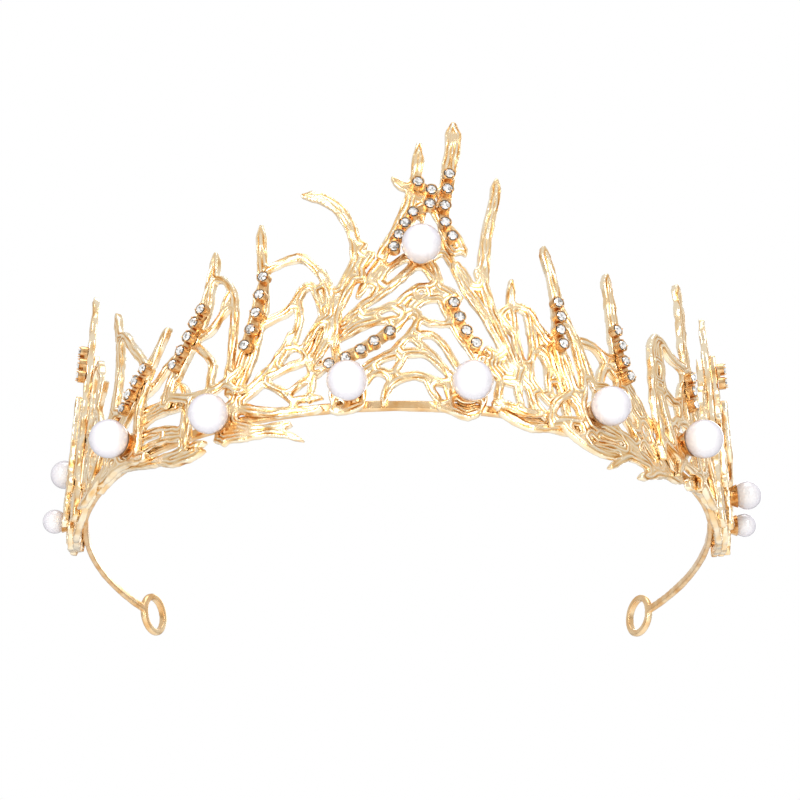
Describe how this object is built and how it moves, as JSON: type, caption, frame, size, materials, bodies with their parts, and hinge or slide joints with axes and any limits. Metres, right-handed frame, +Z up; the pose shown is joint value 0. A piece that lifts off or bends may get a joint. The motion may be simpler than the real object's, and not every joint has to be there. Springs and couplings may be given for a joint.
{
  "type": "bridal tiara",
  "caption": "Bridal tiara: cast twig branches brazed along a curved base rail, set with pearls and rows of stones, on side arms that end in ribbon rings.",
  "frame": {"origin": "centre of the bounding box in plan, at the height of the lowest twig tip", "axes": "+Z up as worn, -Y to the front of the head, +X to the wearer's left; X is the longest side"},
  "size_m": [0.1552, 0.1266, 0.0731],
  "materials": {
    "cast_metal": "polished pale gold plate over cast zinc-brass alloy",
    "band_metal": "polished pale gold plate over drawn brass strip",
    "cup_metal": "polished gold plate",
    "pearl": "glossy pearl lacquer, white with a lavender cast",
    "stone": "clear cut glass, silvered behind"
  },
  "bodies": {
    "root": {"base_rail": "band_metal", "left_arm": "band_metal", "right_arm": "band_metal", "left_side_lattice": "cast_metal", "left_side_spray": "cast_metal", "left_side_curl": "cast_metal", "left_outer_branch": "cast_metal", "left_fork_branch": "cast_metal", "left_blade_branch": "cast_metal", "left_arch_branch": "cast_metal", "left_curl_branch": "cast_metal", "centre_branch": "cast_metal", "centre_spires": "cast_metal", "right_spike_branch": "cast_metal", "right_fan_branch": "cast_metal", "right_blade_branch": "cast_metal", "right_fork_branch": "cast_metal", "right_outer_branch": "cast_metal", "right_side_lattice": "cast_metal", "right_side_spray": "cast_metal", "right_side_curl": "cast_metal", "right_side_knot": "cast_metal", "pearl_top": "pearl", "pearl_left_1": "pearl", "pearl_left_2": "pearl", "pearl_left_3": "pearl", "pearl_right_1": "pearl", "pearl_right_2": "pearl", "pearl_right_3": "pearl", "pearl_left_side": "pearl", "pearl_left_end": "pearl", "pearl_right_side": "pearl", "pearl_right_end": "pearl", "main_pearl_cups": "cup_metal", "side_pearl_cups": "cup_metal", "setting_left_side": "cup_metal", "setting_left_outer": "cup_metal", "setting_left_blade": "cup_metal", "setting_left_arch": "cup_metal", "setting_lower_front": "cup_metal", "setting_left_leg": "cup_metal", "setting_right_leg": "cup_metal", "setting_centre_right": "cup_metal", "setting_right_blade": "cup_metal", "setting_right_fork": "cup_metal", "setting_right_outer": "cup_metal", "setting_right_side": "cup_metal", "stones_left_side": "stone", "stones_left_outer": "stone", "stones_left_blade": "stone", "stones_left_arch": "stone", "stones_lower_front": "stone", "stones_left_leg": "stone", "stones_right_leg": "stone", "stones_centre_right": "stone", "stones_right_blade": "stone", "stones_right_fork": "stone", "stones_right_outer": "stone", "stones_right_side": "stone"}
  },
  "joints": []
}
